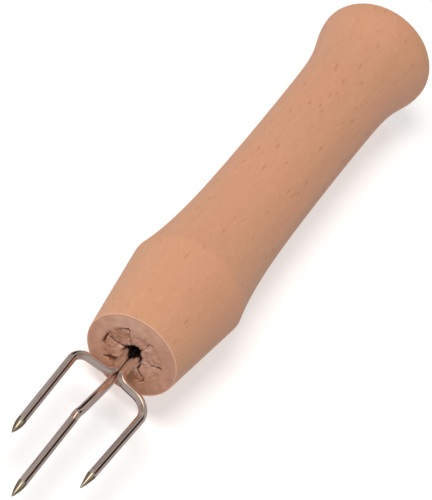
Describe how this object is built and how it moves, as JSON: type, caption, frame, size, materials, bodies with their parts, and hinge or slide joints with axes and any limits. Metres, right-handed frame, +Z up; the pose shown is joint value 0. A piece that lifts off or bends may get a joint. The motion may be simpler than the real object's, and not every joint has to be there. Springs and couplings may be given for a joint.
{
  "type": "pricking fork",
  "caption": "Small hand fork for pricking and holding hot food: turned, waisted wooden handle, star-crimped at the front on bent wire tines with ground points, the centre one longest.",
  "frame": {"origin": "on the table that the fork lies on, under the middle of its bounding box", "axes": "+X along the handle's axis towards the points of the tines, +Z up, with the outer tines level; +Y to the left of someone looking along +X"},
  "size_m": [0.157, 0.0262, 0.0262],
  "materials": {
    "beech": "turned and sanded beech, left bare",
    "wire": "bright nickel-plated round wire"
  },
  "bodies": {
    "root": {"handle": "beech", "left_tine": "wire", "right_tine": "wire", "centre_tine": "wire"}
  },
  "joints": []
}
